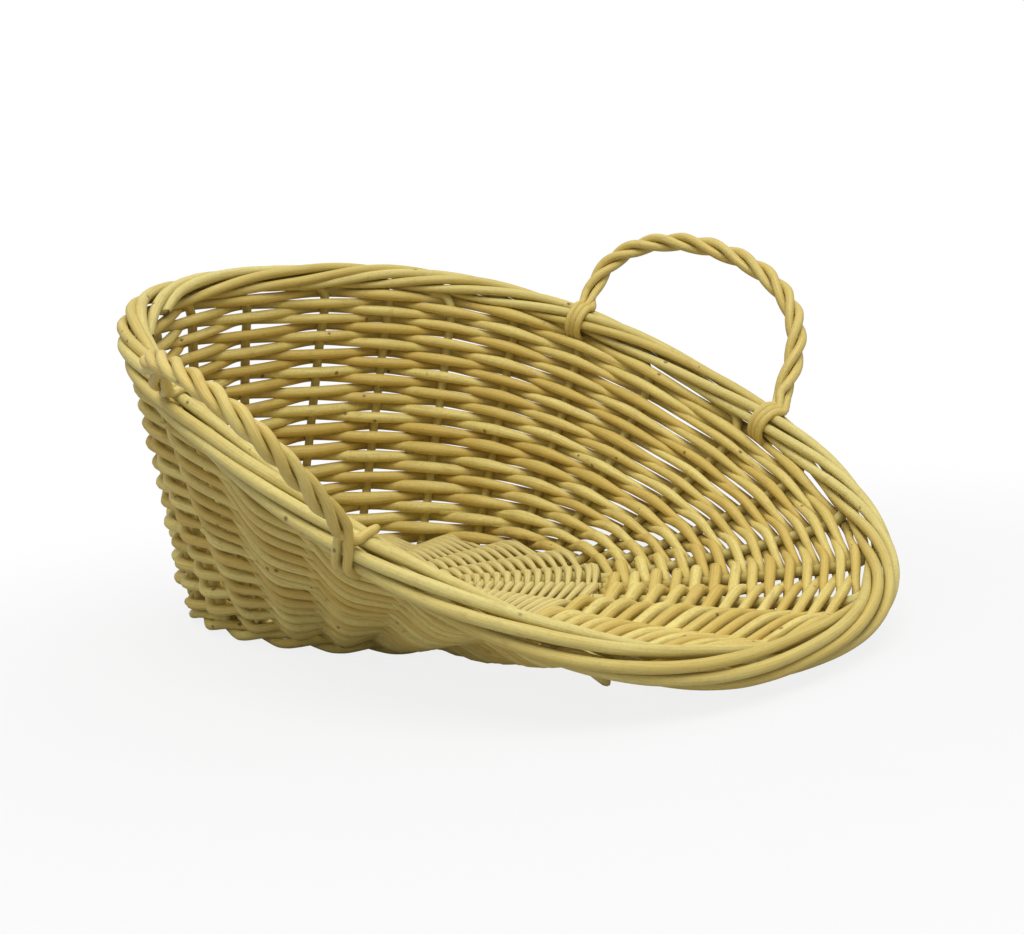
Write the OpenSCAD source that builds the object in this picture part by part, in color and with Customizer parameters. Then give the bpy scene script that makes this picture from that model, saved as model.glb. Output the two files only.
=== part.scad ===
// Trug garden basket in peeled willow, one rod to a solid.
// Z is up and +Y is the high back, so the low front lip points to -Y.
// The origin lies on the floor under the middle of the foot's front edge.
// All functions place things round the middle of the base instead, and every
// node is moved to the origin last. Sizes are in mm.

/* [Base] */
// Half width of the oval base
base_half_w = 103; // [90:1:120]
// Half length of the oval base
base_half_l = 142; // [125:1:160]
// Height of the middle of the base over the floor
base_h = 9.5; // [9.5:0.5:14]
// Sticks that run the length of the base
long_sticks = 3; // [3:1:5]
// Sticks across the base, slit so that the long ones pass through
short_sticks = 5; // [5:1:7]
// Thickness of a long stick
long_stick_dia = 6; // [5:0.5:6]
// Thickness of a short stick
short_stick_dia = 9; // [9:0.5:10]
// Distance between long sticks at the middle
long_stick_gap = 8; // [7:1:12]
// Distance between short sticks at the middle
short_stick_gap = 26; // [20:1:30]
// Thickness of the rods woven round the base
base_rod_dia = 3; // [2:0.1:3.1]
// Rounds made by each of the two base rods
base_rounds = 12; // [8:1:12]
// Width of one of the two foot rods under the edge
foot_rod_w = 6.2; // [5:0.1:6.4]
// Depth that the floor has worn off the foot rods
foot_wear = 0.2; // [0.1:0.05:0.5]

/* [Stakes and border] */
// Stakes, an even number
stake_count = 24; // [20:2:24]
// Angle of the first stake, from the +X side
first_stake = 5; // [0:1:10]
// Thickness of a stake
stake_dia = 5.6; // [4:0.2:6]
// Thickness of a stake top laid down in the border
border_rod_dia = 6; // [4.5:0.1:6.1]
// Thickness of the whole border roll
border_dia = 18.2; // [18:0.1:20]
// Stakes that each top passes before it ends
border_run = 4.9; // [3:0.1:4.9]
// Turn of a top round the border from one stake to the next
border_turn = 60; // [58:1:61]

/* [Rim] */
// Half width of the rim
rim_half_w = 160; // [145:1:175]
// Half length of the rim
rim_half_l = 192; // [180:1:205]
// How far the rim is pushed forward over the base
rim_shift = 100; // [85:1:110]
// Height of the rim at its middle
rim_mid_h = 115.5; // [105:0.5:130]
// How much the rim rises from its middle to the back
rim_rise = 88; // [80:1:92]
// How much both ends dip under a straight slope
rim_hollow = 13; // [0:1:14]
// Squareness of the rim, 2 is an ellipse
rim_square = 2.4; // [2:0.1:2.8]

/* [Wall] */
// Rounds of plain weave, the top round included
row_count = 27; // [20:1:27]
// Share of the room between rounds that the rods fill
row_fill = 0.88; // [0.7:0.01:0.9]
// Height up the wall of the first round
first_row_h = 8.5; // [8:0.5:10]
// How much closer the rounds lie at the top than on average
row_crowd = 0.24; // [0:0.02:0.3]
// Distance from the last round to the middle of the border
top_gap = 14.4; // [14.4:0.1:18]
// Slack between a rod and the stake that it passes
weave_slack = 0.5; // [0.2:0.1:1]
// Turn of the stakes on the base, forward along the sides
stake_sweep = 16.4; // [0:0.2:20]
// Turn of the stakes on the base toward the corners
stake_corner = 6; // [0:0.5:8]
// Bulge of the front apron
front_bulge = 1.47; // [1:0.01:1.6]
// How late the apron lifts off
front_lift = 1.1; // [1:0.01:1.3]

/* [Handles] */
// Height of a handle over its two ends
handle_h = 87; // [70:1:100]
// Thickness of one of the three rods of the far handle
far_rod_dia = 5; // [4.5:0.1:5.6]
// Thickness of one of the three rods of the near handle
near_rod_dia = 4.4; // [4:0.1:4.8]
// Thickness of a rod end looped round the border
loop_rod_dia = 3; // [2.6:0.1:3]
// Full turns of the roping over one handle
handle_turns = 4.2; // [2:0.1:4.5]
// Rear end of the far handle, angle on the rim
far_rear = 20.4; // [20:0.1:21]
// Front end of the far handle, angle on the rim
far_front = -14; // [-15:0.1:-13]
// Rise of the far handle over level, leaning out
far_lean = 55; // [45:1:90]
// Front end of the near handle, angle on the rim
near_front = 200.4; // [200:0.1:201]
// Rear end of the near handle, angle on the rim
near_rear = 170.4; // [170:0.1:171]
// Rise of the near handle over level, leaning out
near_lean = 35; // [30:1:90]
// Swing of the near handle toward the front lip
near_swing = 33; // [0:1:35]
// How much wider the far bow is than a half circle
far_spread = 0.2; // [-0.1:0.05:0.2]
// How much wider the near bow is than a half circle
near_spread = -0.1; // [-0.1:0.05:0.2]
// How far the tops of the bows are pushed forward
bow_push = 0.12; // [0:0.01:0.17]

/* [Hidden] */
stake_step = 360 / stake_count;
stake_r = stake_dia / 2;
border_rod_r = border_rod_dia / 2;
border_r = border_dia / 2;
border_spiral_r = border_r - border_rod_r;
stick_ends = 2 * (long_sticks + short_sticks);
stick_step = 360 / stick_ends;
stick_zero = short_sticks % 2 == 0 ? stick_step / 2 : 0;
crossing_w = long_stick_gap * (long_sticks - 1) / 2 + long_stick_dia + short_stick_dia / 4;
crossing_l = short_stick_gap * (short_sticks - 1) / 2 + short_stick_dia;
base_rod_r = base_rod_dia / 2;
weave_start = 0.06;
base_edge_room = 4;
wall_step = 0.02;
border_s = 0.98;
touch_gap = 0.2;
foot_sides = 6;
foot_r = foot_rod_w / 2 / cos(180 / foot_sides);
foot_reach = (foot_rod_w + touch_gap) / 2;
stick_reach = cos(stake_step / 2) - 2 * (foot_reach + touch_gap) / base_half_w;
weave_reach = stick_reach - base_edge_room / base_half_w;
loop_rod_r = loop_rod_dia / 2;
loop_step = 44;
loop_turns = [for (i = [0:5]) 70 + i * loop_step];
loop_r = (border_r + loop_rod_r + touch_gap) / cos(loop_step / 2);
loop_spread = 2.3;
bow_square = 0.8;
bow_step = 2;
bow_rods = 3;
rod_end = 7;
roping_end = 9;
lay_steps = 34;
bend_gap = border_spiral_r + stake_dia;
bend_run = 0.12;
laid_steps = 17;
row_end_gap = 0.12;
foot_end_gap = 0.15;
pass_room = 1.1;
rod_sides = 5;

function numbered(name, k) = str(name, k < 10 ? "0" : "", k);

// Small helpers.
function unit(v) = v / norm(v);
function blend(a, b, k) = a + (b - a) * k;
function rounded(c, n) = sign(c) * pow(abs(c), 2 / n);
function angle_from(a, c) =
    let (d = (a - c) % 360)
    d > 180 ? d - 360 : d < -180 ? d + 360 : d;
function side_of(k) = k % 2 == 0 ? 1 : -1;

// The wall: a stake at angle t runs from the base (s = 0) to the rim (s = 1),
// straight in plan, and the front apron lies low before it lifts off.
function base_turned(t) = t - stake_sweep * cos(t) - stake_corner * sin(2 * t);
function base_pt(t) = let (f = base_turned(t))
    [base_half_w * cos(f), base_half_l * sin(f), base_h];
function rim_pt(t) = let (y = rounded(sin(t), rim_square))
    [
        rim_half_w * rounded(cos(t), rim_square),
        rim_half_l * y - rim_shift,
        rim_mid_h + rim_rise * y - rim_hollow * y * y
    ];
function wall_pt(t, s) =
    let (front = (1 - sin(t)) / 2)
    let (low = 1 - pow(1 - s, 1 / blend(1, front_bulge, front)))
    let (up = pow(low, blend(1, front_lift, front)))
    let (a = base_pt(t), b = rim_pt(t))
    [blend(a.x, b.x, s), blend(a.y, b.y, s), blend(a.z, b.z, up)];
function wall_out(t, s) =
    let (along = wall_pt(t + 1, s) - wall_pt(t - 1, s))
    let (up = wall_pt(t, min(s + wall_step, 1)) - wall_pt(t, max(s - wall_step, 0)))
    unit(cross(along, up));

// Height of the wall square to the rim, and the place of round k on it.
function wall_h(t) =
    let (along = unit(rim_pt(t + 1) - rim_pt(t - 1)))
    norm(cross(rim_pt(t) - base_pt(t), along));
function row_s(t, k) =
    let (u = k / (row_count - 1))
    let (low = first_row_h / wall_h(t), high = 1 - top_gap / wall_h(t))
    blend(low, high, u * (1 + row_crowd * (1 - u)));
function row_rod_r(t, k) =
    let (above = min(k + 1, row_count - 1), under = max(k - 1, 0), s = row_s(t, k))
    let (along = unit(wall_pt(t + 1, s) - wall_pt(t - 1, s)))
    let (room = wall_pt(t, row_s(t, above)) - wall_pt(t, row_s(t, under)))
    row_fill * norm(cross(room, along)) / (above - under) / 2;

// A rod is a closed tube of rings. Each point has its own radius, and across
// is a direction that one corner of each ring faces.
function rod_points(path, across, radii, sides, spin) =
    let (last = len(path) - 1)
    [
        for (i = [0:last])
            let (ahead = unit(path[min(i + 1, last)] - path[max(i - 1, 0)]))
            let (a = unit(across[i] - ahead * (across[i] * ahead)))
            let (b = cross(ahead, a))
            for (j = [0:sides - 1])
                let (phi = spin + 360 * j / sides)
                path[i] + radii[i] * (cos(phi) * a + sin(phi) * b)
    ];
function rod_faces(rings, sides, first) =
    let (end = first + (rings - 1) * sides)
    concat(
        [for (j = [1:sides - 2]) [first, first + j, first + j + 1]],
        [for (j = [1:sides - 2]) [end, end + j + 1, end + j]],
        [
            for (i = [0:rings - 2], j = [0:sides - 1], half = [0, 1])
                let (p = first + i * sides, q = p + sides, n = (j + 1) % sides)
                half == 0 ? [p + j, q + j, q + n] : [p + j, q + n, p + n]
        ]
    );

// Several rods with the same number of rings, as one polyhedron of loose shells.
module rods(paths, across, radii, sides = rod_sides, spin = 0) {
    rings = len(paths[0]);
    polyhedron(
        points = [
            for (k = [0:len(paths) - 1])
                each rod_points(paths[k], across[k], radii[k], sides, spin)
        ],
        faces = [
            for (k = [0:len(paths) - 1])
                each rod_faces(rings, sides, k * rings * sides)
        ]
    );
}

// Base sticks leave the crossing in the middle and fan out to the oval edge.
function crossing_pt(a) =
    let (short_half = stick_step * (short_sticks - 0.5) / 2)
    let (long_half = stick_step * (long_sticks - 0.5) / 2)
    let (east = angle_from(a, 0), north = angle_from(a, 90))
    let (west = angle_from(a, 180), south = angle_from(a, 270))
    abs(east) < short_half ? [crossing_w, east / stick_step * short_stick_gap, base_h]
    : abs(north) < long_half ? [-north / stick_step * long_stick_gap, crossing_l, base_h]
    : abs(west) < short_half ? [-crossing_w, -west / stick_step * short_stick_gap, base_h]
    : [south / stick_step * long_stick_gap, -crossing_l, base_h];
function edge_pt(a) = [base_half_w * cos(a), base_half_l * sin(a), base_h];
function stick_pt(a, k) = blend(crossing_pt(a), edge_pt(a), k);
function is_short(a) = abs(angle_from(2 * a, 0)) < stick_step * (short_sticks - 0.5);

module base_sticks_long() {
    offsets = [for (i = [0:long_sticks - 1]) (i - (long_sticks - 1) / 2) * stick_step];
    color("burlywood")
    rods(
        [
            for (o = offsets)
                [
                    stick_pt(90 - o, stick_reach),
                    stick_pt(90 - o, 0),
                    stick_pt(270 + o, 0),
                    stick_pt(270 + o, stick_reach)
                ]
        ],
        [for (o = offsets) [for (i = [0:3]) [0, 0, 1]]],
        [for (o = offsets) [for (i = [0:3]) long_stick_dia / 2]],
        sides = 8
    );
}

module base_sticks_short() {
    offsets = [for (i = [0:short_sticks - 1]) (i - (short_sticks - 1) / 2) * stick_step];
    slit_h = long_stick_dia + 2 * touch_gap;
    slit_w = 2 * crossing_w - short_stick_dia / 2;
    color("tan")
    difference() {
        rods(
            [
                for (o = offsets)
                    [
                        stick_pt(o, stick_reach),
                        stick_pt(o, 0),
                        stick_pt(180 - o, 0),
                        stick_pt(180 - o, stick_reach)
                    ]
            ],
            [for (o = offsets) [for (i = [0:3]) [0, 0, 1]]],
            [for (o = offsets) [for (i = [0:3]) short_stick_dia / 2]],
            sides = 8
        );
        translate([0, 0, base_h])
            cube([slit_w, 2 * crossing_l, slit_h], center = true);
    }
}

// Two rods chase each other round the base, one over each stick while the
// other is under it.
module base_weave() {
    steps = stick_ends * base_rounds;
    path = function (half) [
        for (q = [0:steps])
            let (a = stick_zero + q * stick_step)
            let (done = (q + half * stick_ends / 2) / (steps + stick_ends / 2))
            let (k = blend(weave_start, weave_reach, done))
            let (stick_r = is_short(a) ? short_stick_dia / 2 : long_stick_dia / 2)
            let (lift = side_of(q + half) * (stick_r + base_rod_r + touch_gap))
            stick_pt(a, k) + [0, 0, lift]
    ];
    color("wheat")
    rods(
        [path(0), path(1)],
        [for (half = [0, 1]) [for (q = [0:steps]) [0, 0, 1]]],
        [for (half = [0, 1]) [for (q = [0:steps]) base_rod_r]],
        sides = 4
    );
}

// Two rods side by side under the edge of the base, worn flat by the floor.
function foot_pt(a, out) =
    let (p = edge_pt(a), away = unit([cos(a) / base_half_w, sin(a) / base_half_l, 0]))
    [p.x + out * away.x, p.y + out * away.y, foot_rod_w / 2 - foot_wear];
foot_first = 90 - stake_step / 2;
foot_front = -foot_pt(270 - stake_step / 2, foot_reach).y;

module foot_round() {
    turns = [for (i = [0:stake_count]) i == stake_count ? i - foot_end_gap : i];
    path = function (out) [for (i = turns) foot_pt(foot_first + stake_step * i, out)];
    color("peru")
    difference() {
        rods(
            [path(-foot_reach), path(foot_reach)],
            [for (k = [0, 1]) [for (i = turns) [0, 0, 1]]],
            [for (k = [0, 1]) [for (i = turns) foot_r]],
            sides = foot_sides,
            spin = 180 / foot_sides
        );
        translate([0, 0, -foot_rod_w / 2])
            cube([3 * base_half_w, 3 * base_half_l, foot_rod_w], center = true);
    }
}

// Round k of the plain weave is one rod. It starts inside stake k, goes behind
// one stake and before the next all the way round, and ends beside its start.
module weave_row(k) {
    spots = [
        for (i = [0:stake_count])
            first_stake + stake_step * (k + i - (i == stake_count ? row_end_gap : 0))
    ];
    // Each rod clears the stakes by more where it turns hard round them.
    path = [
        for (i = [0:stake_count])
            let (t = spots[i], s = row_s(t, k), r = row_rod_r(t, k))
            let (clear = pass_room * (stake_r + r) + weave_slack)
            wall_pt(t, s) - side_of(i) * clear * wall_out(t, s)
    ];
    color("moccasin")
    rods(
        [path],
        [[for (t = spots) wall_out(t, row_s(t, k))]],
        [[for (t = spots) row_rod_r(t, k)]]
    );
}

// A stake stands up the wall, bends over at the border and winds round it.
function border_out(t) = wall_out(t, border_s);
function border_pt(t, phi) =
    let (along = unit(rim_pt(t + 1) - rim_pt(t - 1)))
    let (out = border_out(t))
    let (down = unit(cross(along, out)))
    rim_pt(t) + border_spiral_r * (cos(phi) * down + sin(phi) * out);

module stake(i) {
    t = first_stake + stake_step * i;
    heights = [0, 0.08, 0.22, 0.4, 0.6, 0.78, 1 - bend_gap / wall_h(t)];
    foot = blend(base_pt(t), [0, 0, base_h], foot_reach / base_half_w);
    path = concat(
        [foot],
        [for (s = heights) wall_pt(t, s)],
        [
            for (j = [0:laid_steps])
                let (run = blend(bend_run, border_run, j / laid_steps))
                border_pt(t + run * stake_step, border_turn * (run - bend_run))
        ]
    );
    across = concat(
        [[0, 0, 1]],
        [for (s = heights) wall_out(t, s)],
        [for (j = [0:laid_steps]) border_out(t + blend(bend_run, border_run, j / laid_steps) * stake_step)]
    );
    radii = [
        for (j = [0:len(path) - 1])
            j <= len(heights) ? stake_r : border_rod_r
    ];
    color("khaki")
    rods([path], [across], [radii]);
}

// The handles: three rods laid round a bow that leans out from the rim.
function bow_dir(a, b, lean, swing) =
    let (chord = unit([(b - a).x, (b - a).y, 0]), mid = (a + b) / 2)
    let (side = cross(chord, [0, 0, 1]), out = side * sign(side.x * mid.x))
    unit(cos(lean) * (cos(swing) * out + sin(swing) * chord) + sin(lean) * [0, 0, 1]);
function bow_pt(a, b, dir, spread, u) =
    (a + b) / 2 - (b - a) / 2 * cos(u) * (1 + spread * sin(u))
    + (b - a) * bow_push * sin(u) * sin(u) + handle_h * dir * pow(sin(u), bow_square);
function lay_pt(a, b, dir, spread, rod_dia, u, k) =
    let (p = bow_pt(a, b, dir, spread, u))
    let (before = bow_pt(a, b, dir, spread, max(u - bow_step, bow_step)))
    let (after = bow_pt(a, b, dir, spread, min(u + bow_step, 180 - bow_step)))
    let (face = unit(cross(b - a, dir)), edge = cross(unit(after - before), face))
    let (psi = 360 * (k / bow_rods + handle_turns * u / 180))
    let (lay_r = (rod_dia / 2 + touch_gap) / sin(180 / bow_rods))
    p + lay_r * (cos(psi) * face + sin(psi) * edge);

// A loop round the border at rim angle t, from angle phi0 on by sweep.
function loop_pt(t, phi) =
    let (along = unit(rim_pt(t + 1) - rim_pt(t - 1)))
    let (out = border_out(t), up = -unit(cross(along, out)))
    rim_pt(t) + loop_r * (cos(phi) * up + sin(phi) * out);

module handle_rod(t0, t1, lean, swing, spread, rod_dia) {
    a = rim_pt(t0);
    b = rim_pt(t1);
    dir = bow_dir(a, b, lean, swing);
    path = [
        for (i = [0:lay_steps])
            lay_pt(a, b, dir, spread, rod_dia, blend(rod_end, 180 - rod_end, i / lay_steps), 0)
    ];
    face = cross(b - a, dir);
    color("goldenrod")
    rods([path], [[for (p = path) face]], [[for (p = path) rod_dia / 2]]);
}

module handle_roping(t0, t1, lean, swing, spread, rod_dia) {
    a = rim_pt(t0);
    b = rim_pt(t1);
    dir = bow_dir(a, b, lean, swing);
    toward = sign(angle_from(t1, t0));
    // One rod loops outward round the border, the other inward beside it.
    path = function (k) let (way = k == 1 ? 1 : -1, side = way * toward * loop_spread) concat(
        [for (j = [len(loop_turns) - 1:-1:0]) loop_pt(t0 - side, way * loop_turns[j])],
        [
            for (i = [0:lay_steps])
                let (u = blend(roping_end, 180 - roping_end, i / lay_steps))
                lay_pt(a, b, dir, spread, rod_dia, u, k)
        ],
        [for (phi = loop_turns) loop_pt(t1 - side, way * phi)]
    );
    across = function (k) concat(
        [for (phi = loop_turns) rim_pt(t0 + toward) - rim_pt(t0)],
        [for (i = [0:lay_steps]) cross(b - a, dir)],
        [for (phi = loop_turns) rim_pt(t1 + toward) - rim_pt(t1)]
    );
    radii = concat(
        [for (phi = loop_turns) loop_rod_r],
        [for (i = [0:lay_steps]) rod_dia / 2],
        [for (phi = loop_turns) loop_rod_r]
    );
    color("darkkhaki")
    rods([path(1), path(2)], [across(1), across(2)], [radii, radii]);
}

module far_handle_rod()
    handle_rod(far_rear, far_front, far_lean, 0, far_spread, far_rod_dia);
module far_handle_roping()
    handle_roping(far_rear, far_front, far_lean, 0, far_spread, far_rod_dia);
module near_handle_rod()
    handle_rod(near_rear, near_front, near_lean, near_swing, near_spread, near_rod_dia);
module near_handle_roping()
    handle_roping(near_rear, near_front, near_lean, near_swing, near_spread, near_rod_dia);

// Every node stands with the middle of the foot's front edge at the origin.
module placed() {
    translate([0, foot_front, 0]) children();
}

placed() base_sticks_long();
placed() base_sticks_short();
placed() base_weave();
placed() foot_round();
for (k = [1:row_count - 1]) {
    placed() weave_row(k - 1);
}
placed() weave_row(row_count - 1);  // top_round
for (k = [1:stake_count]) {
    placed() stake(k - 1);
}
placed() far_handle_rod();
placed() far_handle_roping();
placed() near_handle_rod();
placed() near_handle_roping();
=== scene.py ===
import bpy
import numpy as np
from mathutils import Matrix


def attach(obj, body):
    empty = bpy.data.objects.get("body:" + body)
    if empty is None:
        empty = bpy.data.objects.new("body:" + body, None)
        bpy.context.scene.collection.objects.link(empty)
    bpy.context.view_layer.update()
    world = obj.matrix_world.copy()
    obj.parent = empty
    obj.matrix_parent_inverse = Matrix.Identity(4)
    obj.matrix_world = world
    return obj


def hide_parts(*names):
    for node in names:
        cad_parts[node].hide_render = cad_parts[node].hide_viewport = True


# %% [markdown]
# # A trug garden basket, rod by rod
# A trug is a shallow basket for carrying cut flowers and vegetables. This one
# is woven from peeled willow: a stiff oval base, stakes that stand up from it,
# rows of thin rods woven in and out of the stakes, and a border in which the
# tops of the stakes are laid down. Each rod of the real basket is one mesh here,
# so the weave is a real weave and not a picture of one on a bent sheet.

# %% The frame that the rods are built around
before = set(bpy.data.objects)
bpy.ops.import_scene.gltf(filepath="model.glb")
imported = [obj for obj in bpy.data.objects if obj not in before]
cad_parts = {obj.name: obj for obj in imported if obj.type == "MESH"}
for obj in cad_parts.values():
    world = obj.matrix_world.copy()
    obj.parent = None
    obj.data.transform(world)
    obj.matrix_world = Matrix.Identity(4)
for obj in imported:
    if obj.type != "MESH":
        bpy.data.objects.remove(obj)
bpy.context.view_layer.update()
chance = np.random.default_rng(27)
print("solids in the frame:", len(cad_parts))

# %% [markdown]
# ## The sizes of the basket
# Lengths are in metres and angles in degrees. An angle on the rim is counted
# from the +X side, and 90 is the high back. The wall stands on an oval base and
# ends in a squarish oval rim, which is pushed forward and tipped down in front.

# %% Sizes
base_half_w, base_half_l, base_h = 0.103, 0.142, 0.0095
long_sticks, long_stick_r, long_stick_gap = 3, 0.003, 0.008
short_sticks, short_stick_r, short_stick_gap = 5, 0.0045, 0.026
base_rod_r, base_rounds = 0.0025, 14
foot_rod_r, foot_wear = 0.0031, 0.0002
stake_count, first_stake, stake_r = 24, 5, 0.0028
border_rod_r, border_r, border_run, border_turn = 0.003, 0.0091, 4.9, 60
rim_half_w, rim_half_l, rim_shift = 0.160, 0.192, 0.100
rim_mid_h, rim_rise, rim_hollow, rim_square = 0.1155, 0.088, 0.013, 2.4
row_count, row_crowd, first_row_h = 27, 0.24, 0.0056
top_gap = 0.0102
stroke_fill, crossing_fill, end_thin, usual_rod_r, press = 1.22, 1.06, 0.55, 0.0034, 0.92
stake_sweep, stake_corner, front_bulge, front_lift = 16.4, 6, 1.47, 1.1
handle_h, handle_turns, wrap_rod_r = 0.087, 4.2, 0.0021
touch_gap = 0.0002
stake_step = 360 / stake_count
stick_ends = 2 * (long_sticks + short_sticks)
stick_step = 360 / stick_ends
origin_shift = np.array([0.0, 0.143934, 0.0])

# %% [markdown]
# ## The shape of the wall
# One function gives any point of the wall from two numbers: the angle, and how
# far up it lies between base and rim. Every rod asks this function where it
# has to go, so rods that touch on the real basket touch here as well.

# %% Small helpers for angles and directions
def cos(a):
    return np.cos(np.radians(a))


def sin(a):
    return np.sin(np.radians(a))


def unit(v):
    return v / np.linalg.norm(v, axis=-1, keepdims=True)


def blend(a, b, k):
    return a + (b - a) * k


def rounded(c, n):
    return np.sign(c) * np.abs(c) ** (2 / n)


def side_of(k):
    return 1 - 2 * (np.asarray(k) % 2)


def place(x, y, z):
    return np.stack(np.broadcast_arrays(x, y, z), -1).astype(float)


def along_of(edge, t):
    """The direction in which a closed curve runs at angle t."""
    return unit(edge(t + 1) - edge(t - 1))


# %% Base oval, rim and wall
def base_pt(t):
    f = t - stake_sweep * cos(t) - stake_corner * sin(2 * t)
    return place(base_half_w * cos(f), base_half_l * sin(f), base_h)


def rim_pt(t):
    y = rounded(sin(t), rim_square)
    return place(
        rim_half_w * rounded(cos(t), rim_square),
        rim_half_l * y - rim_shift,
        rim_mid_h + rim_rise * y - rim_hollow * y * y,
    )


def wall_pt(t, s):
    t, s = np.broadcast_arrays(np.asarray(t, float), np.asarray(s, float))
    front = (1 - sin(t)) / 2
    low = 1 - (1 - s) ** (1 / blend(1, front_bulge, front))
    up = low ** blend(1, front_lift, front)
    a, b = base_pt(t), rim_pt(t)
    return place(
        blend(a[..., 0], b[..., 0], s),
        blend(a[..., 1], b[..., 1], s),
        blend(a[..., 2], b[..., 2], up),
    )


def wall_out(t, s):
    """The direction that points out of the basket, square to the wall."""
    along = wall_pt(t + 1, s) - wall_pt(t - 1, s)
    up = wall_pt(t, np.minimum(s + 0.02, 1)) - wall_pt(t, np.maximum(s - 0.02, 0))
    return unit(np.cross(along, up))


def wall_h(t):
    return np.linalg.norm(np.cross(rim_pt(t) - base_pt(t), along_of(rim_pt, t)), axis=-1)


print("wall height at the back and front, mm:", np.round(wall_h(np.array([90, 270])) * 1000, 1))


# %% [markdown]
# ## A rod
# A willow rod is round, tapers from its thick end to its tip, and is cut off
# at a slant. It could be a curve with a bevel, but then its surface would not
# know how far along the rod it is. So it is a mesh of rings along a smooth path,
# and each corner keeps its own place in the straight rod: two numbers round it
# and the distance along it. The grain of the wood is later drawn in that place,
# so it bends with the rod as real grain does.

# %% A smooth path through a few points
def smooth(points, steps):
    """A curve through the points. Each row holds a place, a radius and a
    direction across the rod, and all of them change smoothly."""
    gaps = np.linalg.norm(np.diff(points[:, :3], axis=0), axis=1) ** 0.5
    at = np.concatenate([[0], np.cumsum(gaps)])
    slope = np.gradient(points, at, axis=0)
    k = (np.arange(steps) / steps)[None, :, None]
    h = gaps[:, None, None]
    a, b = points[:-1, None], points[1:, None]
    da, db = slope[:-1, None] * h, slope[1:, None] * h
    curve = (
        a * (1 - 3 * k**2 + 2 * k**3)
        + da * (k - 2 * k**2 + k**3)
        + b * (3 * k**2 - 2 * k**3)
        + db * (k**3 - k**2)
    )
    return np.concatenate([curve.reshape(-1, points.shape[1]), points[-1:]])


def control(path, radii, across):
    """Puts places, radii and directions together as the rows for smooth()."""
    radii = np.broadcast_to(np.asarray(radii, float), len(path))
    across = np.broadcast_to(across, path.shape)
    return np.concatenate([path, radii[:, None], across], axis=1)


# %% From a path to a mesh
def wander(n, reach, step):
    """A slow random drift with n values, none larger than about reach."""
    knots = max(int(n / step) + 2, 4)
    values = chance.uniform(-1, 1, knots)
    return reach * np.interp(np.linspace(0, knots - 1, n), np.arange(knots), values)


def add_rod(shape, rows, sides=12, slant=0.7, taper=0.0):
    """Adds one rod to a list of meshes that make up a piece."""
    path, radii, across = rows[:, :3], rows[:, 3].copy(), rows[:, 4:7]
    n = len(path)
    ahead = np.empty_like(path)
    ahead[1:-1] = path[2:] - path[:-2]
    ahead[0], ahead[-1] = path[1] - path[0], path[-1] - path[-2]
    ahead = unit(ahead)
    a = unit(across - ahead * np.sum(across * ahead, axis=1, keepdims=True))
    b = np.cross(ahead, a)
    along = np.concatenate([[0], np.cumsum(np.linalg.norm(np.diff(path, axis=0), axis=1))])
    radii *= 1 + taper * (0.5 - along / along[-1]) + wander(n, 0.03, 6)
    phi = np.arange(sides) * 2 * np.pi / sides
    ring = radii[:, None, None] * (
        np.cos(phi)[None, :, None] * a[:, None] + np.sin(phi)[None, :, None] * b[:, None]
    )
    corners = path[:, None] + ring
    # The knife leaves the end at a slant: one side of the last ring runs on.
    corners[0] -= ahead[0] * (radii[0] * slant * np.cos(phi))[:, None]
    corners[-1] += ahead[-1] * (radii[-1] * slant * np.cos(phi + 1))[:, None]
    grain = np.empty((n, sides, 3))
    grain[..., 0], grain[..., 1] = np.cos(phi), np.sin(phi)
    grain[..., 2] = along[:, None]
    first = sum(len(part["corners"]) for part in shape)
    i, j = np.meshgrid(np.arange(n - 1), np.arange(sides), indexing="ij")
    here, there = first + i * sides + j, first + i * sides + (j + 1) % sides
    faces = np.stack([here, there, there + sides, here + sides], -1).reshape(-1, 4)
    middles = np.stack([corners[0].mean(0), corners[-1].mean(0)])
    heart = np.array([[0, 0, along[0]], [0, 0, along[-1]]])
    m = first + n * sides
    j = np.arange(sides)
    cap_a = np.stack([np.full(sides, m), first + (j + 1) % sides, first + j], -1)
    last = first + (n - 1) * sides
    cap_b = np.stack([np.full(sides, m + 1), last + j, last + (j + 1) % sides], -1)
    shape.append(
        {
            "corners": np.concatenate([corners.reshape(-1, 3), middles]),
            "grain": np.concatenate([grain.reshape(-1, 3), heart]),
            "faces": faces.tolist() + cap_a.tolist() + cap_b.tolist(),
            "tint": chance.uniform(),
            "length": along[-1],
        }
    )


pieces_made = {}


def make_piece(name, node, shape, finish):
    """Turns the rods in shape into one piece that stands for a CAD node."""
    mesh = bpy.data.meshes.new(name)
    corners = np.concatenate([part["corners"] for part in shape]) + origin_shift
    mesh.from_pydata(corners.tolist(), [], [f for part in shape for f in part["faces"]])
    grain = mesh.attributes.new("grain", "FLOAT_VECTOR", "POINT")
    grain.data.foreach_set("vector", np.concatenate([part["grain"] for part in shape]).ravel())
    tints = np.concatenate([np.full(len(part["corners"]), part["tint"]) for part in shape])
    tint = mesh.attributes.new("tint", "FLOAT", "POINT")
    tint.data.foreach_set("value", tints)
    mesh.polygons.foreach_set("use_smooth", [len(p.vertices) == 4 for p in mesh.polygons])
    mesh.materials.append(finish)
    mesh.update()
    piece = bpy.data.objects.new(name, mesh)
    bpy.context.scene.collection.objects.link(piece)
    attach(piece, "root")
    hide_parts(node)
    pieces_made[name] = sum(part["length"] for part in shape)
    return piece


# %% [markdown]
# ## Shader arithmetic
# A shader is a small program drawn as boxes and wires. The class here wraps one
# socket, so that a sum or product of two sockets is written as it would be
# on paper, and each one adds its own Math node.

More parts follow.
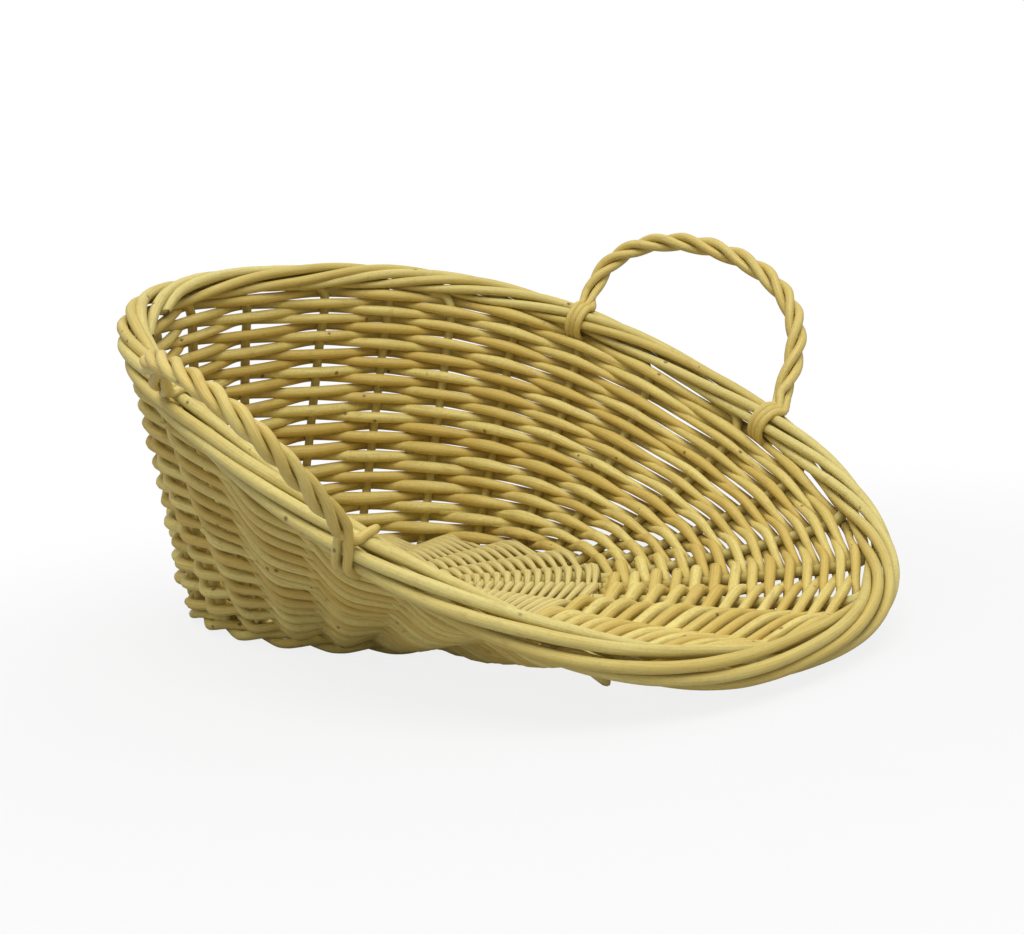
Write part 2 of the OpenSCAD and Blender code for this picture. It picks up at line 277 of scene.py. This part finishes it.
# %% A socket that adds up like a number
class Socket:
    def __init__(self, tree, socket=None):
        self.tree, self.socket = tree, socket

    def make(self, kind, settings, inputs, output=0):
        """Adds a node of any kind: first its settings, then its sockets."""
        node = self.tree.nodes.new(kind)
        for key, value in settings.items():
            if key == "stops":
                ramp = node.color_ramp.elements
                while len(ramp) < len(value):
                    ramp.new(0.5)
                for stop, (position, colour) in zip(ramp, value):
                    stop.position, stop.color = position, (*colour, 1)
            else:
                setattr(node, key, value)
        for key, value in inputs.items():
            if isinstance(value, Socket):
                self.tree.links.new(value.socket, node.inputs[key])
            else:
                node.inputs[key].default_value = value
        return Socket(self.tree, node.outputs[output])

    def math(self, operation, *values):
        return self.make("ShaderNodeMath", {"operation": operation}, dict(enumerate(values)))

    def __add__(self, other):
        return self.math("ADD", self, other)

    def __sub__(self, other):
        return self.math("SUBTRACT", self, other)

    def __rsub__(self, other):
        return self.math("SUBTRACT", other, self)

    def __mul__(self, other):
        return self.math("MULTIPLY", self, other)

    def __truediv__(self, other):
        return self.math("DIVIDE", self, other)

    def __gt__(self, other):
        return self.math("GREATER_THAN", self, other)

    def __pow__(self, other):
        return self.math("POWER", self, other)

    __radd__, __rmul__ = __add__, __mul__

    def ramp(self, low, high):
        """0 below low and 1 above high, with a soft change between."""
        settings = {"interpolation_type": "SMOOTHSTEP"}
        inputs = {"Value": self, "From Min": low, "From Max": high}
        return self.make("ShaderNodeMapRange", settings, inputs)

    def between(self, a, b):
        """The colour a where this is 0, b where it is 1."""
        inputs = {0: self}
        for key, colour in ((6, a), (7, b)):
            inputs[key] = colour if isinstance(colour, Socket) else (*colour, 1)
        settings = {"data_type": "RGBA"}
        return self.make("ShaderNodeMix", settings, inputs, 2)

    def stretch(self, x, y, z):
        return self.make(
            "ShaderNodeVectorMath", {"operation": "MULTIPLY"}, {0: self, 1: (x, y, z)}
        )

    def noise(self, scale, detail, rough=0.5):
        inputs = {"Vector": self, "Scale": scale, "Detail": detail, "Roughness": rough}
        return self.make("ShaderNodeTexNoise", {}, inputs)


# %% [markdown]
# ## Peeled willow
# Peeled willow is pale straw when new and turns to ochre as it ages. No two rods
# have the same tone. Fine fibres run along each rod, small dark scars show where
# buds sat, and the cut ends are paler with a spot of pith in the middle. All of
# that is worked out from each corner's own place in the straight rod, so nothing
# has to be unwrapped and no picture is needed.

# %% The willow finish
def willow(name, pale, deep, knots=1.0, worn=0.0):
    material = bpy.data.materials.new(name)
    material.use_nodes = True
    tree = material.node_tree
    tree.nodes.clear()
    start = Socket(tree)
    grain = start.make("ShaderNodeAttribute", {"attribute_name": "grain"}, {}, "Vector")
    tint = start.make("ShaderNodeAttribute", {"attribute_name": "tint"}, {}, "Fac")
    shift = start.make("ShaderNodeCombineXYZ", {}, {0: tint * 31, 1: tint * 57, 2: tint * 83})
    spot = grain.make("ShaderNodeVectorMath", {"operation": "ADD"}, {0: grain.stretch(1, 1, 370), 1: shift})

    fibres = spot.stretch(3.2, 3.2, 0.10).noise(1.0, 3.0, 0.65)
    lines = spot.stretch(7.0, 7.0, 0.05).noise(1.0, 2.0, 0.5)
    patches = spot.stretch(0.35, 0.35, 0.07).noise(1.0, 2.0, 0.5)
    blotches = spot.stretch(0.6, 0.6, 0.30).noise(1.0, 3.0, 0.6)
    cells = {"feature": "F1", "distance": "EUCLIDEAN"}
    at_cell = {"Vector": spot.stretch(0.24, 0.24, 0.2), "Scale": 1.0}
    from_bud = start.make("ShaderNodeTexVoronoi", cells, at_cell, "Distance")
    bud_size = start.make("ShaderNodeTexVoronoi", cells, at_cell, "Color")
    bud_size = start.make("ShaderNodeSeparateColor", {}, {0: bud_size}, 0)
    scar = 1 - (from_bud / (0.04 + bud_size * 0.12)).ramp(0.35, 1.0)
    scar = scar * (bud_size > 0.25) * knots

    tone = (tint * 0.95 + patches * 0.9 - 0.42).ramp(0.0, 1.0)
    colour = tone.between(pale, deep)
    streak = (fibres.ramp(0.35, 0.7)) * 0.45
    colour = streak.between(colour, tuple(c * k for c, k in zip(deep, (0.80, 0.74, 0.62))))
    light = lines.ramp(0.5, 0.75) * 0.35
    colour = light.between(colour, tuple(min(c * 1.12, 1) for c in pale))
    mottle = spot.stretch(2.6, 2.6, 1.5).noise(1.0, 4.0, 0.65)
    colour = (mottle.ramp(0.42, 0.72) * 0.42).between(colour, tuple(c * 0.80 for c in deep))
    stain = blotches.ramp(0.56, 0.74) * 0.40
    colour = stain.between(colour, (0.36, 0.235, 0.085))
    colour = (scar * 0.85).between(colour, (0.11, 0.055, 0.020))

    parts = start.make("ShaderNodeSeparateXYZ", {}, {0: grain}, 0)
    across = start.make("ShaderNodeSeparateXYZ", {}, {0: grain}, 1)
    from_heart = parts.math("SQRT", parts * parts + across * across)
    cut = 1 - from_heart.ramp(0.90, 0.99)
    pith = 1 - from_heart.ramp(0.10, 0.22)
    wood = pith.between((0.64, 0.54, 0.27), (0.36, 0.25, 0.10))
    colour = cut.between(colour, wood)

    rough = 0.50 + fibres * 0.16 + scar * 0.2 - worn * 0.12
    height = fibres * 0.6 + lines * 0.3 - scar * 0.9 + blotches * 0.5 + mottle * 0.5
    bump = height.make(
        "ShaderNodeBump", {}, {"Height": height, "Strength": 0.55, "Distance": 0.0004}
    )
    shader = start.make(
        "ShaderNodeBsdfPrincipled",
        {},
        {
            "Base Color": colour,
            "Roughness": rough,
            "Normal": bump,
            "Specular IOR Level": 0.3,
        },
    )
    out = tree.nodes.new("ShaderNodeOutputMaterial")
    tree.links.new(shader.socket, out.inputs[0])
    return material


weaver_willow = willow("weaver_willow", (0.72, 0.61, 0.200), (0.55, 0.39, 0.080))
stake_willow = willow("stake_willow", (0.635, 0.555, 0.200), (0.53, 0.40, 0.095))
base_willow = willow("base_willow", (0.655, 0.55, 0.150), (0.51, 0.36, 0.062))
handle_willow = willow("handle_willow", (0.67, 0.57, 0.190), (0.55, 0.395, 0.088), worn=1.0)
print("willow finishes:", 4)

# %% [markdown]
# ## The base
# Split sticks make the cross of the base: the short ones are slit in the middle
# and the long ones pushed through them. Thin rods are woven round and round over
# the cross, and the sticks are spread like the spokes of a wheel as the weave
# goes out. Here the cross and the weave are rods like all others.

# %% Places on the base
def angle_from(a, c):
    return (a - c + 900) % 360 - 180


crossing_w = long_stick_gap * (long_sticks - 1) / 2 + 2 * long_stick_r + short_stick_r / 2
crossing_l = short_stick_gap * (short_sticks - 1) / 2 + 2 * short_stick_r
foot_reach = foot_rod_r + touch_gap / 2
stick_reach = cos(stake_step / 2) - 2 * (foot_reach + touch_gap) / base_half_w
weave_reach = stick_reach + 0.0015 / base_half_w


def crossing_pt(a):
    short_half = stick_step * (short_sticks - 0.5) / 2
    long_half = stick_step * (long_sticks - 0.5) / 2
    east, north, west, south = (angle_from(a, c) for c in (0, 90, 180, 270))
    if abs(east) < short_half:
        return place(crossing_w, east / stick_step * short_stick_gap, base_h)
    if abs(north) < long_half:
        return place(-north / stick_step * long_stick_gap, crossing_l, base_h)
    if abs(west) < short_half:
        return place(-crossing_w, -west / stick_step * short_stick_gap, base_h)
    return place(south / stick_step * long_stick_gap, -crossing_l, base_h)


def edge_pt(a):
    return place(base_half_w * cos(a), base_half_l * sin(a), base_h)


def stick_pt(a, k):
    return blend(crossing_pt(a), edge_pt(a), k)


def is_short(a):
    return abs(angle_from(2 * a, 0)) < stick_step * (short_sticks - 0.5)


up = np.array([0.0, 0.0, 1.0])

# %% Sticks of the base
def base_sticks(count, start, end, radius):
    shape = []
    for i in range(count):
        o = (i - (count - 1) / 2) * stick_step
        ends = [start(o), end(o)]
        head, tail = ([stick_pt(a, k) for k in (stick_reach, 0.4, 0.1, 0)] for a in ends)
        middle = [blend(head[-1], tail[-1], k) for k in (0.1, 0.5, 0.9)]
        path = np.array(head + middle + tail[::-1])
        rows = smooth(control(path, radius, up), 6)
        add_rod(shape, rows, sides=12, slant=0.3)
    return shape


make_piece("long_base_sticks", "base_sticks_long",
           base_sticks(long_sticks, lambda o: 90 - o, lambda o: 270 + o, long_stick_r), base_willow)
make_piece("short_base_sticks", "base_sticks_short",
           base_sticks(short_sticks, lambda o: o, lambda o: 180 - o, short_stick_r), base_willow)


# %% The rods woven round the base
def base_spiral(half):
    """One of the two rods that chase each other round the base. It is thinner
    between two sticks, where it slips past its neighbours."""
    steps = stick_ends * base_rounds
    rows, radii = [], []
    for q in np.arange(0, steps + 0.1, 0.5):
        a = q * stick_step
        # The first round is tight round the cross, and the last runs along the edge.
        rounds = q / stick_ends + half / 2 - 1
        k = blend(-0.03, weave_reach, np.clip(rounds / (base_rounds - 1.5), 0, 1))
        if q % 1 == 0:
            stick = short_stick_r if is_short(a) else long_stick_r
            lift = side_of(q + half) * (0.85 * stick + 0.7 * base_rod_r)
            rows.append(stick_pt(a, k) + lift * up)
        else:
            before, after = (stick_pt(a + turn, k) for turn in (-stick_step / 2, stick_step / 2))
            rows.append((before + after) / 2)
        radii.append(base_rod_r if q % 1 == 0 else 0.55 * base_rod_r)
    return smooth(control(np.array(rows), radii, up), 4)


base_rods = []
for half in (0, 1):
    add_rod(base_rods, base_spiral(half), sides=8)
make_piece("base_weave_rods", "base_weave", base_rods, base_willow)


# %% The foot round
def foot_pt(a, out, high):
    away = unit(place(cos(a) / base_half_w, sin(a) / base_half_l, 0.0))
    p = edge_pt(a) + out[:, None] * away
    p[..., 2] = high
    return p


foot_lay_r, foot_mid_h = 0.0026, 0.0051
foot = []
turns = np.arange(0, stake_count + 0.26, 0.25)
lay_radii = np.interp(turns, [0, 0.5, stake_count - 0.25, turns[-1]], [0.6, 1, 1, 0.4]) * foot_lay_r
for half in (0, 1):
    lay = 180 * (turns + half)
    path = foot_pt(first_stake + stake_step * turns, 0.0033 * cos(lay), foot_mid_h + 0.0025 * sin(lay))
    add_rod(foot, smooth(control(path, lay_radii, up), 3), slant=0.4)
for part in foot:
    part["corners"][:, 2] = np.maximum(part["corners"][:, 2], 0)
make_piece("foot_rods", "foot_round", foot, base_willow)
print("base pieces:", list(pieces_made))


# %% [markdown]
# ## The siding
# The wall is plain weave, or randing: a rod goes behind one stake and in front of
# the next, all the way round, and the row above does the opposite. On the real
# basket each row starts one stake further on. Thick rods can't turn sharply, so
# the path is smooth, and every rod leaves a little light at each stake.

# %% Where a row runs
def top_row_s(t):
    """How far up the wall a place lies that is top_gap away from the rim."""
    steps = np.linspace(0.85, 1, 31)
    under = [np.linalg.norm(wall_pt(t, step) - rim_pt(t), axis=-1) for step in steps]
    return np.array([np.interp(-top_gap, -np.array(d), steps) for d in np.transpose(under)])


def row_s(t, k):
    u = k / (row_count - 1)
    low, high = first_row_h / wall_h(t), top_row_s(t)
    return blend(low, high, u * (1 + row_crowd * (1 - u)))


def row_rod_r(t, k):
    above, under = min(k + 1, row_count - 1), max(k - 1, 0)
    s = row_s(t, k)
    along = unit(wall_pt(t + 1, s) - wall_pt(t - 1, s))
    room = wall_pt(t, row_s(t, above)) - wall_pt(t, row_s(t, under))
    return np.linalg.norm(np.cross(room, along), axis=-1) / (above - under) / 2


def weave_row(k):
    """One row as a single rod. It swells where it shows, over a stake, and is
    squeezed where it dives between its neighbours, half way to the next stake.
    Its two thin ends lie one above the other for the length of one stroke."""
    i = np.concatenate([[-1.3], np.arange(-1, stake_count, 0.5), [stake_count - 0.25]])
    passing = i % 1 == 0.5
    over = side_of(np.round(i))
    spots = first_stake + stake_step * (k + i)
    s, room = row_s(spots, k), row_rod_r(spots, k)
    share = np.clip(np.minimum(i + 1.3, stake_count - 0.25 - i), 0, 1)
    on_near_side = (1 - cos(spots - 20)) / 2
    r = blend(room * stroke_fill, usual_rod_r, 0.4) * blend(1.06, 0.78, on_near_side)
    r *= chance.uniform(0.90, 1.10)
    r = np.where(passing, np.minimum(r, room * crossing_fill), r) * blend(end_thin, 1.0, share)
    out = wall_out(spots, s)
    rise = unit(wall_pt(spots, s + 0.01) - wall_pt(spots, s))
    clear = (stake_r + r) * press + wander(len(i), 0.0003, 2)
    path = wall_pt(spots, s) - (over * clear)[:, None] * out
    lift = (1 - share) * room * np.where(i < 1, 0.5, -0.5)
    lift += np.where(passing, 0.3, 1.0) * wander(len(i), 0.0007, 2)
    path += lift[:, None] * rise
    # A stiff rod runs straight from one stake to the next.
    middle = np.flatnonzero(passing)
    path[middle] = (path[middle - 1] + path[middle + 1]) / 2
    shape = []
    add_rod(shape, smooth(control(path, r, out), 5), taper=0.10 * side_of(k), slant=0.6)
    return shape


for k in range(row_count):
    node = "top_round" if k == row_count - 1 else f"siding_row_{k + 1:02d}"
    make_piece(f"{node}_rod", node, weave_row(k), weaver_willow)
print("rows of siding:", row_count)


# %% [markdown]
# ## Stakes and border
# A stake is pushed in beside the foot, bent up, and woven round. At the top it is
# bent over, goes behind its neighbours and winds slowly round the rim, so that the
# tops of four stakes at a time make the rolled border. Each stake with its top is
# one rod.

# %% Where a stake top runs in the border
border_spiral_r = border_r - border_rod_r
bend_run, tucked_run, shown_run, stub_run = 0.12, 6.1, 5.1, 6.5
corner_tops, stub_top = (3, 4, 5), 9


def border_pt(t, phi, reach=border_spiral_r):
    out = wall_out(t, 0.98)
    down = unit(np.cross(along_of(rim_pt, t), out))
    phi = np.asarray(phi)[..., None]
    return rim_pt(t) + np.asarray(reach)[..., None] * (cos(phi) * down + sin(phi) * out)


def stake(i):
    t = first_stake + stake_step * i
    shows, stub = i in corner_tops, i == stub_top
    length = shown_run if shows else stub_run if stub else tucked_run
    foot = blend(base_pt(t), np.array([0, 0, base_h]), foot_reach / base_half_w)
    heights = np.append(
        np.array([0, 0.08, 0.22, 0.4, 0.6, 0.78]), 1 - (border_spiral_r + 2 * stake_r) / wall_h(t)
    )
    upright = wall_pt(np.full(len(heights), t), heights)
    run = blend(bend_run, length, np.arange(31) / 30)
    at = t + run * stake_step
    in_front = (1 - sin(at)) / 2
    turn = border_turn * (run - bend_run) * chance.uniform(0.96, 1.04) + wander(len(run), 6, 5)
    reach = border_spiral_r + blend(0.0, 0.0004, in_front) + wander(len(run), 0.0004, 5)
    radii = border_rod_r * blend(1.0, 0.9, in_front) * blend(1.03, 1.03 if shows else 0.93, run / length)
    # Most tips are tucked in under the roll, the ones in the corner stand out.
    tip = np.clip((run - length + 1.2) / 1.2, 0, 1)
    reach += tip**2 * (0.0018 if shows else 0.0080 if stub else -0.0020)
    radii *= 1 - tip * (0.0 if shows or stub else 0.40)
    top = border_pt(at, turn, reach)
    path = np.concatenate([foot[None], upright, top])
    radii = np.concatenate([np.full(len(upright) + 1, stake_r), radii])
    across = np.concatenate([up[None], wall_out(np.full(len(heights), t), heights), wall_out(at, 0.98)])
    shape = []
    add_rod(shape, smooth(control(path, radii, across), 5), slant=1.6)
    return shape


for i in range(stake_count):
    make_piece(f"stake_{i + 1:02d}_rod", f"stake_{i + 1:02d}", stake(i), stake_willow)
print("stakes:", stake_count)


# %% [markdown]
# ## Handles
# Each handle is a bow of three rods laid up like rope. Two of them are taken
# round the border at both ends and hold the bow. The bows lean outwards.

# %% Where a handle runs
def bow_dir(a, b, lean, swing):
    chord = unit((b - a) * np.array([1, 1, 0]))
    side = np.cross(chord, up)
    out = side * np.sign(side[0] * (a + b)[0])
    return unit(cos(lean) * (cos(swing) * out + sin(swing) * chord) + sin(lean) * up)


def bow_pt(a, b, dir, u, spread, push):
    u = np.asarray(u, float)[..., None]
    return (
        (a + b) / 2
        - (b - a) / 2 * cos(u) * (1 + spread * sin(u))
        + (b - a) * push * sin(u) ** 2
        + handle_h * dir * sin(u) ** 0.8
    )


def lay_pt(a, b, dir, rod_r, u, k, *bulge):
    ahead = unit(
        bow_pt(a, b, dir, np.minimum(u + 2, 178), *bulge) - bow_pt(a, b, dir, np.maximum(u - 2, 2), *bulge)
    )
    face = unit(np.cross(b - a, dir))
    edge = np.cross(ahead, face)
    psi = (120 * k + 360 * handle_turns * u / 180)[..., None]
    lay_r = (rod_r + touch_gap) / sin(60)
    return bow_pt(a, b, dir, u, *bulge) + lay_r * (cos(psi) * face + sin(psi) * edge)


def wrap(t, start, sweep, side, drift, lift=0.0):
    """A rod end wound round the border at rim angle t. It begins at the angle
    start round the border (0 is on top and 90 is outside), side millimetres
    along the rim, and winds on with a sideways drift. Its tip may stand off."""
    along = np.linspace(0, 1, max(int(abs(sweep) / 27), 3))
    speed = np.linalg.norm(rim_pt(t + 1) - rim_pt(t - 1)) / 2 * 1000
    at = t + (side + drift * along) / speed
    phi = (start + sweep * along)[:, None]
    out = wall_out(at, 0.98)
    rise = -unit(np.cross(along_of(rim_pt, at), out))
    reach = border_r + 0.6 * wrap_rod_r + lift * np.clip(along * 3 - 2, 0, 1)[:, None]
    return rim_pt(at) + reach * (cos(phi) * rise + sin(phi) * out)


# %% The rods of a handle
def handle_strand(ends, k, tails):
    """Rod k of a handle, with the way each of its two ends is fastened."""
    t0, t1, lean, swing, rod_r, *bulge = ends
    a, b = rim_pt(t0), rim_pt(t1)
    dir = bow_dir(a, b, lean, swing)
    u = np.linspace(9, 171, 60)
    first, last = wrap(t0, *tails[0])[::-1], wrap(t1, *tails[1])
    path = np.concatenate([first, lay_pt(a, b, dir, rod_r, u, k, *bulge), last])
    radii = np.concatenate(
        [np.full(len(first), wrap_rod_r), np.full(len(u), rod_r), np.full(len(last), wrap_rod_r)]
    )
    radii = blend(radii, np.convolve(np.pad(radii, 2, mode="edge"), np.ones(5) / 5, "valid"), 1.0)
    across = np.concatenate(
        [
            np.tile(unit(along_of(rim_pt, t0)), (len(first), 1)),
            np.tile(unit(np.cross(b - a, dir)), (len(u), 1)),
            np.tile(unit(along_of(rim_pt, t1)), (len(last), 1)),
        ]
    )
    return smooth(control(path, radii, across), 4)


far_ends = (20.4, -14, 55, 0, 0.0027, 0.2, 0.12)
near_ends = (170.4, 200.4, 35, 33, 0.0022, -0.1, 0.12)
far_tails = [
    [(0, -235, 0, 0), (0, -235, 0, 0)],
    [(0, -255, -4.0, 1), (0, -255, 4.0, -1)],
    [(0, -245, 4.0, -1), (0, -245, -4.0, 1)],
]
near_tails = [
    [(30, -250, 0, 0), (20, -50, 3, 2, 0.001)],
    [(20, -255, 4.4, -1), (60, 105, -3, -1, 0.003)],
    [(20, -250, -4.4, 1), (60, 120, 3, 1, 0.004)],
]
for side, ends, tails in (("far", far_ends, far_tails), ("near", near_ends, near_tails)):
    core, wrapping = [], []
    add_rod(core, handle_strand(ends, 0, tails[0]))
    for k in (1, 2):
        add_rod(wrapping, handle_strand(ends, k, tails[k]))
    make_piece(f"{side}_handle_core", f"{side}_handle_rod", core, handle_willow)
    make_piece(f"{side}_handle_wrap", f"{side}_handle_roping", wrapping, handle_willow)
print("pieces:", len(pieces_made), "metres of rod:", round(sum(pieces_made.values()), 1))

# %% [markdown]
# ## Floor, light and camera
# The basket stands on a pale floor that fades to white further out. The light is
# soft and mostly from above, as from a large lamp box over a product table.

# %% Floor
def floor_paper():
    material = bpy.data.materials.new("floor_paper")
    material.use_nodes = True
    tree = material.node_tree
    tree.nodes.clear()
    start = Socket(tree)
    place_on_floor = start.make("ShaderNodeNewGeometry", {}, {}, "Position")
    away = start.make(
        "ShaderNodeVectorMath", {"operation": "LENGTH"}, {0: place_on_floor}, "Value"
    )
    tooth = place_on_floor.noise(60.0, 3.0)
    paper = tooth.between((0.48, 0.48, 0.48), (0.51, 0.51, 0.51))
    sheet = start.make("ShaderNodeBsdfDiffuse", {}, {"Color": paper})
    white = start.make("ShaderNodeEmission", {}, {"Color": (1, 1, 1, 1), "Strength": 1.0})
    camera_ray = start.make("ShaderNodeLightPath", {}, {}, "Is Camera Ray")
    fade = (0.84 + 0.16 * away.ramp(0.20, 0.60)) * camera_ray
    mix = start.make("ShaderNodeMixShader", {}, {0: fade, 1: sheet, 2: white})
    out = tree.nodes.new("ShaderNodeOutputMaterial")
    tree.links.new(mix.socket, out.inputs[0])
    return material


floor_mesh = bpy.data.meshes.new("studio_floor")
reach = 8.0
floor_mesh.from_pydata(
    [(-reach, -reach, 0), (reach, -reach, 0), (reach, reach, 0), (-reach, reach, 0)], [], [(0, 1, 2, 3)]
)
floor_mesh.materials.append(floor_paper())
floor = bpy.data.objects.new("studio_floor", floor_mesh)
bpy.context.scene.collection.objects.link(floor)

# %% Light
world = bpy.data.worlds.new("studio")
world.use_nodes = True
world.node_tree.nodes.clear()
sky = Socket(world.node_tree)
camera_ray = sky.make("ShaderNodeLightPath", {}, {}, "Is Camera Ray")
glossy_ray = sky.make("ShaderNodeLightPath", {}, {}, "Is Glossy Ray")
direction = sky.make("ShaderNodeTexCoord", {}, {}, "Generated")
height = sky.make("ShaderNodeSeparateXYZ", {}, {0: direction}, 2)
dome_level = 0.28 + 0.62 * height.ramp(0.0, 0.8)
seen = (camera_ray + glossy_ray * 0.2).math("MINIMUM", camera_ray + glossy_ray * 0.2, 1.0)
strength = dome_level + seen * (1 - dome_level)
background = sky.make("ShaderNodeBackground", {}, {"Color": (1, 1, 1, 1), "Strength": strength})
world_out = world.node_tree.nodes.new("ShaderNodeOutputWorld")
world.node_tree.links.new(background.socket, world_out.inputs[0])
bpy.context.scene.world = world


def lamp(name, place_at, aim, size, power):
    light = bpy.data.lights.new(name, "AREA")
    light.shape, light.size, light.energy = "DISK", size, power
    thing = bpy.data.objects.new(name, light)
    bpy.context.scene.collection.objects.link(thing)
    thing.location = place_at
    back = unit(np.array(place_at, float) - np.array(aim, float))
    side = unit(np.cross(up, back))
    turn = Matrix([side, np.cross(back, side), back]).transposed()
    thing.rotation_mode = "QUATERNION"
    thing.rotation_quaternion = turn.to_quaternion()


lamp("lamp_box", (-0.42, -0.50, 1.33), (0, 0.08, 0.08), 1.1, 14.8)

# %% Camera
bpy.context.scene.view_settings.view_transform = "Standard"
frame_w, focal_px, sensor_w = 1024, 1400, 36.0
yaw, pitch, roll = 0.832, -0.138, -0.0772
forward = np.array([np.cos(yaw) * np.cos(pitch), np.sin(yaw) * np.cos(pitch), np.sin(pitch)])
right = unit(np.cross(forward, up))
above = np.cross(right, forward)
turned_right = np.cos(roll) * right + np.sin(roll) * above
turned_up = -np.sin(roll) * right + np.cos(roll) * above
camera = bpy.data.objects.new("camera", bpy.data.cameras.new("camera"))
camera.data.sensor_width = sensor_w
camera.data.lens = focal_px / frame_w * sensor_w
camera.data.clip_start = 0.02
camera.rotation_mode = "QUATERNION"
camera.rotation_quaternion = Matrix([turned_right, turned_up, -forward]).transposed().to_quaternion()
camera.location = (-0.4848, -0.4993, 0.1839)
bpy.context.scene.collection.objects.link(camera)
bpy.context.scene.camera = camera
